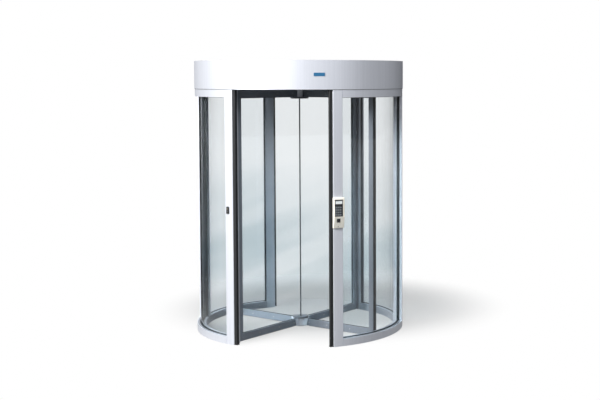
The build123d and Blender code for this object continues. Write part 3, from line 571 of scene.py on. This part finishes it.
def brush_rows(material):
    """The tree that sets bristle tufts along edges, standing along each point's direction."""
    tree = bpy.data.node_groups.new("brush rows", "GeometryNodeTree")
    sockets = tree.interface
    sockets.new_socket("Rows", in_out="INPUT", socket_type="NodeSocketGeometry")
    for name in ("Tuft spacing", "Tuft length", "Tuft radius"):
        sockets.new_socket(name, in_out="INPUT", socket_type="NodeSocketFloat")
    sockets.new_socket("Brush", in_out="OUTPUT", socket_type="NodeSocketGeometry")
    given = add(tree, "NodeGroupInput").outputs
    row = add(tree, "GeometryNodeMeshToCurve", {"Mesh": given["Rows"]})
    apart = {"Curve": row.outputs["Curve"], "Length": given["Tuft spacing"]}
    spaced = add(tree, "GeometryNodeResampleCurve", apart, mode="LENGTH")
    size = {"Vertices": 5, "Radius Top": tuft_tip, "Radius Bottom": given["Tuft radius"]}
    tuft = add(tree, "GeometryNodeMeshCone", {**size, "Depth": given["Tuft length"]})
    out = add(tree, "GeometryNodeInputNamedAttribute", {"Name": "out"}, data_type="FLOAT_VECTOR")
    limits = {"Min": [-most_lean] * 3, "Max": [most_lean] * 3, "Seed": 4}
    lean = add(tree, "FunctionNodeRandomValue", limits, data_type="FLOAT_VECTOR")
    leant = add(tree, "ShaderNodeVectorMath", {0: out.outputs[0], 1: lean.outputs[0]}, operation="ADD")
    aim = add(tree, "FunctionNodeAlignRotationToVector", {"Vector": leant.outputs[0]}, axis="Z")
    placed = {"Points": spaced.outputs["Curve"], "Instance": tuft.outputs["Mesh"], "Rotation": aim.outputs[0]}
    on = add(tree, "GeometryNodeInstanceOnPoints", placed)
    real = add(tree, "GeometryNodeRealizeInstances", {"Geometry": on.outputs["Instances"]})
    paint = add(tree, "GeometryNodeSetMaterial", {"Geometry": real.outputs["Geometry"], "Material": material})
    add(tree, "NodeGroupOutput", {"Brush": paint.outputs["Geometry"]})
    return tree


brushes = brush_rows(nylon)
side_root, foot_root, head_root = 0.8090, 0.0085, 2.0915
row_start, row_end = 0.099, 0.762
strip_ends = (0.098, 0.763)
side_rows = [((side_root, 0, 0.010), (side_root, 0, 2.090))]
end_rows = [((row_start, 0, level), (row_end, 0, level)) for level in (foot_root, head_root)]
brush_kinds = (
    ("side", side_rows, 0.0190, [(1, 0, 0)]),
    ("end", end_rows, 0.0070, [(0, 0, -1), (0, 0, 1)]),
)
side_fold = [(0.8060, 0.0027), (0.8102, 0.0027), (0.8102, 0.0162), (0.8120, 0.0160), (0.8128, 0.0020)]
side_fold += [(0.8128, 0.0006), (0.8265, 0.0006)]
side_fold += [(x, -y) for x, y in reversed(side_fold)]
for n, turn in enumerate(turns, 1):
    for kind, rows, length, ways in brush_kinds:
        points, facing, edges = [], [], []
        for (start, finish), way in zip(rows, ways):
            edges.append((len(points), len(points) + 1))
            points += [turn @ Vector(start), turn @ Vector(finish)]
            facing += [turn @ Vector(way)] * 2
        sizes = {"Tuft spacing": tuft_spacing, "Tuft length": length, "Tuft radius": tuft_foot}
        name = f"wing_{n}_{kind}_brush"
        brush = grown(name, brushes, points, facing, sizes, "rotor", edges)
        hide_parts("wing_sweep_seals")
    strips = [(upright(side_fold, foot_root, head_root, turn), 0)]
    for base, shoulder, tip in ((0.0090, 0.0070, 0.0030), (2.0910, 2.0930, 2.0970)):
        end_fold = [(0.0027, base), (0.0027, shoulder), (0.0006, shoulder), (0.0006, tip)]
        end_fold += [(-y, z) for y, z in reversed(end_fold)]
        strips.append((skin([[turn @ Vector((x, y, z)) for y, z in end_fold] for x in strip_ends]), 0))
    fin = shape(f"wing_{n}_brush_strip", strips, [epdm], "rotor")
    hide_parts("wing_sweep_seals")

# Drive in the canopy: gear wheel and pinion of machined steel with fine cutter lines, a gearmotor sprayed
# in grey enamel that has run a little, and a powder-coated control box.
# None of it shows with the dust cover on.
machined = grained(
    "machined steel", "#77797c", "#7e8083", "#6c6e71", (1000, 1000, 5), 0.02, metallic=1.0, roughness=0.34
)
dress(machined, "drive_wheel", "drive_pinion")
grey_enamel = grained("sprayed grey enamel", "#4a5158", "#4f565d", "#444b52", (9, 9, 9), 0.05, roughness=0.4)
dress(grey_enamel, "gearmotor")
box_coat = grained("light grey powder coat", "#b9bbb9", "#bdbfbd", "#b2b4b2", (2, 2, 2), 0.03, roughness=0.5)
dress(box_coat, "control_box")

# Key switch: a black moulded plate, screwed to the left front post, with a key barrel in a bezel.
# The barrel turns a quarter turn in the plate, and its nickel plating has a bright, slightly warm shine.
nickel = grained(
    "nickel-plated brass", "#d5d0c2", "#dad6c9", "#c8c2b2", (6, 6, 6), 0.01, metallic=1.0, roughness=0.22
)
dress(nickel, "key_switch_barrel")


def on_post(direction, level):
    """Turns measures across, up and outward from a fitting's middle into places on the drum."""
    outward, right = compass(direction, 1, 0), compass(direction + 90, 1, 0)
    return lambda u, v, w: outward * (drum_radius + w) + right * u + Vector((0, 0, level + v))


def collar(place, u, v, profile, steps=32):
    """A closed outline of radius and outward level, turned about a fitting's own axis."""
    rings = []
    for n in range(steps):
        t = 2 * math.pi * n / steps
        rings.append([place(u + radius * math.cos(t), v + radius * math.sin(t), w) for radius, w in profile])
    return skin(rings, loop=True)


switch_direction, barrel_rise = -120.6, 0.012
switch_at = on_post(switch_direction, 1.113)
bezel = [(0.0093, 0.0048), (0.0093, 0.0064), (0.0102, 0.0070), (0.0118, 0.0066), (0.0122, 0.0048)]
barrel_ring = collar(switch_at, 0, barrel_rise, bezel)
shape("key_switch_bezel", [(barrel_ring, 0)], [black_abs], "frame")
screw_rises, screw_out = (-0.008, -0.024), 0.0056
points = [switch_at(0, rise, screw_out) for rise in screw_rises]
facing = [compass(switch_direction, 1, 0)] * len(points)
set_screws("key_switch_screws", points, facing, "frame", radius=0.0028, height=0.0014)

# Access terminal: a cream moulded ABS housing on the right front post, smooth with a faint grain; age has
# warmed its colour a little. Its blank display is a glossy, faintly lit film, and its fingerprint window
# is dark, glossy smoked acrylic.
cream_abs, tree, shader = surface("cream moulded ABS", "#f1eee3", roughness=0.42)
mottle(tree, shader, "#f4f1e6", "#ebe7da", (10, 10, 10))
where = add(tree, "ShaderNodeTexCoord").outputs["Object"]
fine = add(tree, "ShaderNodeTexNoise", {"Vector": where, "Scale": 1000 / 1.2})
relief(tree, shader, fine.outputs["Fac"], 0.02)
dress(cream_abs, "terminal_housing")
lcd, tree, shader = surface(
    "blank display film", "#e9ecea", roughness=0.15, coat_weight=0.5, emission_strength=0.15
)
shader.inputs["Emission Color"].default_value = linear("#f4fbff")
mottle(tree, shader, "#eceeed", "#e2e6e4", (20, 20, 20))
dress(lcd, "terminal_display")
smoked, tree, shader = surface("smoked acrylic", "#26282c", roughness=0.12, coat_weight=0.6)
mottle(tree, shader, "#2a2c30", "#202226", (8, 8, 8))
dress(smoked, "fingerprint_window")

# Keypad: moulded caps of soft, matt silicone rubber in four rows of three.
# Each has a plain digit, a star or a hash in white epoxy ink that stands a hair above the cap.
silicone = grained("grey silicone rubber", "#70767b", "#757b80", "#686e73", (2, 2, 2), 0.02, roughness=0.5)
ink, tree, shader = surface("white printed ink", "#e9ebec", roughness=0.55)
mottle(tree, shader, "#eceeef", "#e2e4e6", (3, 3, 3))
terminal_direction = -60.2
terminal_at = on_post(terminal_direction, 1.104)
key_names = ["1", "2", "3", "4", "5", "6", "7", "8", "9", "star", "0", "hash"]
signs = {"star": "*", "hash": "#"}
key_width, key_height, key_corner = 0.0150, 0.0120, 0.0018
key_rings = [(0.0288, 0), (0.0346, 0), (0.0354, 0.0005), (0.0358, 0.0016)]
key_top = key_rings[-1][0]
keypad_middle, keypad_rise = -0.010, 0.016
pitch_across, pitch_up = 0.019, 0.020
mark_size, ink_depth = 0.0085, 0.00012


def pad(place, u, v, width, height, corner, levels):
    """A rounded block whose rings step inward as they rise, each given as outward level and inset."""
    rings = []
    for w, inset in levels:
        ring = []
        for across, up, start in ((1, 1, 0), (-1, 1, 90), (-1, -1, 180), (1, -1, 270)):
            for k in range(4):
                t = math.radians(start + 30 * k)
                right = u + across * (width / 2 - corner) + (corner - inset) * math.cos(t)
                rise = v + up * (height / 2 - corner) + (corner - inset) * math.sin(t)
                ring.append(place(right, rise, w))
        rings.append(ring)
    return skin(rings)


outward, right = compass(terminal_direction, 1, 0), compass(terminal_direction + 90, 1, 0)
upward = Vector((0, 0, 1))
for n, key in enumerate(key_names):
    u = keypad_middle + (n % 3 - 1) * pitch_across
    v = keypad_rise + (1.5 - n // 3) * pitch_up
    block = pad(terminal_at, u, v, key_width, key_height, key_corner, key_rings)
    cap = shape(f"keypad_cap_{key}", [(block, 0)], [silicone], f"button_{key}")
    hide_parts(f"key_{key}")
    sign = bpy.data.curves.new(f"keypad mark {key}", "FONT")
    sign.body = signs.get(key, key)
    sign.size = mark_size
    sign.extrude = ink_depth
    sign.resolution_u = 3
    sign.align_x = "CENTER"
    sign.align_y = "CENTER"
    drawn = bpy.data.objects.new(f"keypad mark {key}", sign)
    bpy.context.collection.objects.link(drawn)
    bpy.context.view_layer.update()
    mesh = bpy.data.meshes.new_from_object(drawn.evaluated_get(bpy.context.evaluated_depsgraph_get()))
    bpy.data.objects.remove(drawn)
    mesh.transform(seat(right, upward, outward, terminal_at(u, v, key_top)))
    mesh.materials.clear()
    mesh.materials.append(ink)
    mark = bpy.data.objects.new(f"keypad_mark_{key}", mesh)
    bpy.context.collection.objects.link(mark)
    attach(mark, f"button_{key}")

# Terminal bezels: thin black frames round the display and round the key panel.
# They are moulded in the same dull black ABS as the panel.
bezel_middle, display_rise, panel_rise = -0.006, 0.086, 0.040


def border(place, u, v, width, height, bar, low, high):
    """A flat rectangular frame of the given bar width, standing between two outward levels."""
    corners = []
    for across, up in ((1, 1), (-1, 1), (-1, -1), (1, -1)):
        outer = (u + across * width / 2, v + up * height / 2)
        inner = (u + across * (width / 2 - bar), v + up * (height / 2 - bar))
        corners.append([place(*outer, low), place(*outer, high), place(*inner, high), place(*inner, low)])
    return skin(corners, loop=True)


display_bezel = border(
    terminal_at, bezel_middle, display_rise, width=0.0650, height=0.0300, bar=0.0026, low=0.0340, high=0.0350
)
panel_bezel = border(
    terminal_at, bezel_middle, panel_rise, width=0.0706, height=0.1366, bar=0.0012, low=0.0338, high=0.0344
)
bezels = [(display_bezel, 0), (panel_bezel, 0)]
shape("terminal_bezels", bezels, [black_abs], "frame", bevel=0.0002)

# Floor and light: a plain pale studio floor and three soft lamps, at the left front, the right front and
# behind. The backdrop is white to the eye and through glass, and lights the door only faintly; in a mirror
# image it is bright at the front left and the right, and dark behind.
floor_reach = 30
bright_sides = (((-0.42, -0.9, 0), 0.0, 1.0), ((0.98, -0.17, 0), 0.1, 0.9))
full_at, darkest = 0.9, 0.04


def backdrop(tree, direction, scale):
    """How much of the backdrop a ray sees, how bright it is there, and if the ray is of a mirror image."""
    path = add(tree, "ShaderNodeLightPath").outputs
    bounced = {0: path["Diffuse Depth"], 1: 0.5}
    bounced = add(tree, "ShaderNodeMath", bounced, operation="GREATER_THAN").outputs[0]
    mirrored = {0: path["Glossy Depth"], 1: 0.5}
    mirrored = add(tree, "ShaderNodeMath", mirrored, operation="GREATER_THAN").outputs[0]
    seen = {0: path["Is Camera Ray"], 1: path["Is Transmission Ray"]}
    seen = add(tree, "ShaderNodeMath", seen, operation="MAXIMUM").outputs[0]
    seen = add(tree, "ShaderNodeMath", {0: seen, 1: path["Is Glossy Ray"]}, operation="MAXIMUM").outputs[0]
    shown = add(tree, "ShaderNodeMix", {0: bounced, 2: seen, 3: 0.0}).outputs[0]
    bright = 0.0
    for middle, start, most in bright_sides:
        side = add(tree, "ShaderNodeVectorMath", {0: direction, 1: middle}, operation="DOT_PRODUCT")
        ramp = {"Value": side.outputs["Value"], "From Min": start, "From Max": full_at}
        ramp = add(tree, "ShaderNodeMapRange", {**ramp, "To Min": darkest, "To Max": most})
        lighter = {0: ramp.outputs["Result"], 1: bright}
        bright = add(tree, "ShaderNodeMath", lighter, operation="MAXIMUM").outputs[0]
    bright = add(tree, "ShaderNodeMath", {0: bright, 1: scale}, operation="MULTIPLY").outputs[0]
    level = add(tree, "ShaderNodeMix", {0: mirrored, 2: 1.0, 3: bright}).outputs[0]
    return shown, level, mirrored


def away(tree, where, middle, near, far, least, way="LINEAR"):
    """Rises from the least value to one between two distances from a place."""
    gap = add(tree, "ShaderNodeVectorMath", {0: where, 1: middle}, operation="DISTANCE").outputs["Value"]
    ramp = {"Value": gap, "From Min": near, "From Max": far, "To Min": least}
    return add(tree, "ShaderNodeMapRange", ramp, interpolation_type=way).outputs["Result"]


# Outside the drum the floor is mostly the backdrop's white. Inside it and behind it the floor's own darker
# paint comes through, with the lamps' real shadows on it: a painted shade round and inside the drum, deepest
# in the drum's left front corner.
floor_paint, tree, shader = surface("pale studio floor", "#767676", roughness=0.9, specular_ior_level=0.0)
where = add(tree, "ShaderNodeTexCoord").outputs["Object"]
outward = add(tree, "ShaderNodeVectorMath", {0: where}, operation="NORMALIZE").outputs[0]
shown, bright, mirrored = backdrop(tree, outward, scale=0.45)
painted_shade_fade = away(tree, where, (0.15, 0.9, 0), near=0.75, far=1.75, least=0.5, way="SMOOTHSTEP")
# The darkening round this corner is painted shade.
corner = away(tree, where, (-0.72, -0.3, 0), near=0.0, far=0.75, least=0.05, way="SMOOTHSTEP")
outside = away(tree, where, (0, 0, 0), near=0.82, far=0.9, least=0.0)
corner = add(tree, "ShaderNodeMath", {0: corner, 1: outside}, operation="MAXIMUM").outputs[0]
share = add(tree, "ShaderNodeMath", {0: painted_shade_fade, 1: corner}, operation="MULTIPLY").outputs[0]
share = add(tree, "ShaderNodeMath", {0: share, 1: mirrored}, operation="MAXIMUM").outputs[0]
share = add(tree, "ShaderNodeMath", {0: shown, 1: share}, operation="MULTIPLY").outputs[0]
white = add(tree, "ShaderNodeEmission", {"Color": linear("#ffffff"), "Strength": bright})
blend = {0: share, 1: shader.outputs["BSDF"], 2: white.outputs["Emission"]}
blend = add(tree, "ShaderNodeMixShader", blend)
tree.links.new(blend.outputs["Shader"], tree.nodes["Material Output"].inputs["Surface"])
corners = [(x * floor_reach, y * floor_reach, 0) for x, y in ((-1, -1), (1, -1), (1, 1), (-1, 1))]
floor_mesh = bpy.data.meshes.new("floor")
floor_mesh.from_pydata(corners, [], [(0, 1, 2, 3)])
floor_mesh.materials.append(floor_paint)
floor = bpy.data.objects.new("floor", floor_mesh)
bpy.context.collection.objects.link(floor)

# The backdrop stands all round, and its mirror image is darker towards the horizon.
ambient_light = 0.05
world = bpy.data.worlds.new("studio")
world.use_nodes = True
bpy.context.scene.world = world
tree = world.node_tree
tree.nodes.clear()
outward = add(tree, "ShaderNodeTexCoord").outputs["Generated"]
rise = add(tree, "ShaderNodeSeparateXYZ", {0: outward}).outputs["Z"]
ramp = {"Value": rise, "From Min": 0.02, "From Max": 0.15, "To Min": 0.15}
rise = add(tree, "ShaderNodeMapRange", ramp).outputs["Result"]
shown, bright, mirrored = backdrop(tree, outward, rise)
looks = add(tree, "ShaderNodeMath", {0: shown, 1: bright}, operation="MULTIPLY").outputs[0]
bounces = add(tree, "ShaderNodeLightPath").outputs["Diffuse Depth"]
bounced = add(tree, "ShaderNodeMath", {0: bounces, 1: 0.5}, operation="GREATER_THAN").outputs[0]
ambient = add(tree, "ShaderNodeMath", {0: bounced, 1: ambient_light}, operation="MULTIPLY").outputs[0]
level = add(tree, "ShaderNodeMath", {0: looks, 1: ambient}, operation="MAXIMUM").outputs[0]
light = add(tree, "ShaderNodeBackground", {"Color": linear("#ffffff"), "Strength": level})
add(tree, "ShaderNodeOutputWorld", {"Surface": light.outputs[0]})


lamp_size = 3.0
door_middle = Vector((0, 0, 1.2))


def lamp(name, place, power, colour):
    """A square soft lamp that looks at the door's middle."""
    data = bpy.data.lights.new(name, "AREA")
    data.size = lamp_size
    data.energy = power
    data.color = linear(colour)[:3]
    item = bpy.data.objects.new(name, data)
    item.location = place
    item.rotation_euler = (door_middle - Vector(place)).to_track_quat("-Z", "Y").to_euler()
    bpy.context.collection.objects.link(item)


lamp("key lamp", (-6.1, -7.5, 5.6), 2000, "#ffffff")
lamp("fill lamp", (5.2, -5.6, 7.6), 360, "#f6f9ff")
lamp("back lamp", (-2.0, 8.5, 8.0), 700, "#f6f9ff")

# Camera: as the photograph was taken, from slightly above the canopy's lower edge, ten metres off.
# Its lens and its shifts were fitted to the photograph's straight edges and circles.
camera = bpy.data.cameras.new("camera")
camera.sensor_width, camera.lens = 36, 67.47
camera.shift_x, camera.shift_y = -0.16667, -0.08333
eye = bpy.data.objects.new("camera", camera)
eye.location = (1.7257, -9.7870, 2.212)
eye.rotation_euler = (math.radians(86.23), 0, math.radians(4.895))
bpy.context.collection.objects.link(eye)
bpy.context.scene.camera = eye
bpy.context.scene.view_settings.view_transform = "Standard"
